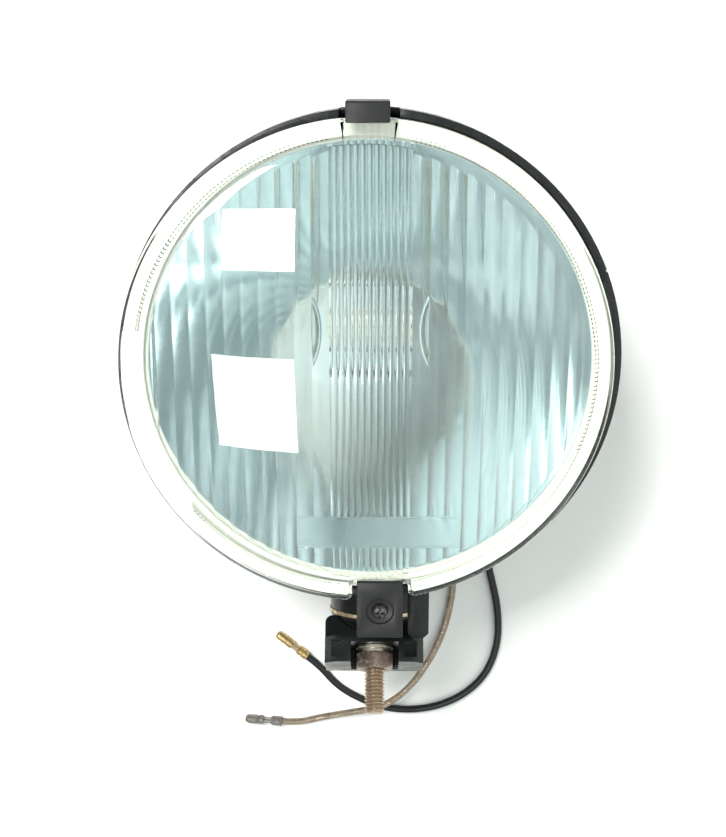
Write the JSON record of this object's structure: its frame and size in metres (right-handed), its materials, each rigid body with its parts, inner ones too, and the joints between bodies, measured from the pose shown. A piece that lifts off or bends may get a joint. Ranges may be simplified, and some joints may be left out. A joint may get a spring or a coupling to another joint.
{
  "type": "fog light",
  "caption": "Round auxiliary fog light with a fluted glass lens, clipped into a dished housing on a ball-knuckle foot with a threaded stud, nut and flying leads.",
  "frame": {"origin": "on the lens axis, at the flat back of the housing that the lamp lies on", "axes": "+Z along the lens axis, towards the light's front; -Y towards the mounting foot; +X to the right seen from the front"},
  "size_m": [0.1774, 0.2777, 0.088],
  "materials": {
    "clear_glass": "polished pressed glass",
    "bulb_glass": "polished",
    "seal": "matt",
    "reflector_coat": "vacuum aluminised",
    "tungsten": "drawn",
    "bulb_metal": "pressed",
    "connector_plastic": "moulded",
    "black_plastic": "moulded, satin gloss",
    "black_enamel": "black enamel",
    "screw_black": "blackened, worn bright on the head",
    "zinc_steel": "zinc plated",
    "yellow_zinc": "yellow passivated, worn",
    "foot_plastic": "moulded, satin",
    "rusty_zinc": "yellow zinc with light rust",
    "nut_rust": "rusty zinc",
    "grommet_rubber": "matt",
    "black_pvc": "satin",
    "clear_pvc": "clear sheath over copper braid",
    "brass_terminal": "rolled brass",
    "tinned_terminal": "dull tin"
  },
  "bodies": {
    "lamp": {"housing_shell": "black_plastic", "top_clip": "black_enamel", "lens": "clear_glass", "lens_gasket": "seal", "reflector": "reflector_coat", "bulb_capsule": "bulb_glass", "bulb_filament": "tungsten", "bulb_base": "bulb_metal", "bulb_spring": "bulb_metal", "bulb_connector": "connector_plastic", "clamp_nut": "zinc_steel", "knuckle": "black_plastic", "knuckle_ring": "yellow_zinc", "cable_grommet": "grommet_rubber", "black_lead": "black_pvc", "clear_lead": "clear_pvc", "black_lead_terminal": "brass_terminal", "clear_lead_terminal": "tinned_terminal", "inner_live_lead": "black_pvc", "inner_earth_lead": "clear_pvc"},
    "clamp": {"clamp_plate": "black_enamel"},
    "clamp_screw": {"clamp_screw": "screw_black"},
    "bolt": {"stud": "rusty_zinc", "saddle_washer": "zinc_steel"},
    "foot": {"foot": "foot_plastic"},
    "washers": {"flat_washer": "zinc_steel", "lock_washer": "zinc_steel"},
    "nut": {"stud_nut": "nut_rust"}
  },
  "joints": [
    {"name": "aim_tilt", "type": "hinge", "parent": "lamp", "child": "bolt", "pos_m": [0.0019, -0.104, 0.035], "axis": [1, 0, 0], "range_deg": [-2, 54]},
    {"name": "aim_swivel", "type": "hinge", "parent": "bolt", "child": "foot", "pos_m": [0.0019, -0.104, 0.035], "axis": [0, -0.809, 0.5878], "range_deg": [-15, 15]},
    {"name": "nut_travel", "type": "slide", "parent": "bolt", "child": "washers", "axis": [0, -0.809, 0.5878], "range_m": [0, 0.01129]},
    {"name": "nut_turn", "type": "hinge", "parent": "washers", "child": "nut", "pos_m": [0.0019, -0.12803, 0.05246], "axis": [0, -0.809, 0.5878], "range_deg": [0, 2881]},
    {"name": "clamp_lift", "type": "slide", "parent": "lamp", "child": "clamp", "axis": [0, 0, 1], "range_m": [0, 0.0048]},
    {"name": "clamp_turn", "type": "hinge", "parent": "clamp", "child": "clamp_screw", "pos_m": [0.0038, -0.0918, 0.082], "axis": [0, 0, 1], "range_deg": [0, 2161]}
  ],
  "couplings": [
    {"joint": "nut_turn", "follows": "nut_travel", "rad_per_m": 4452.7},
    {"joint": "clamp_turn", "follows": "clamp_lift", "rad_per_m": 7854}
  ]
}
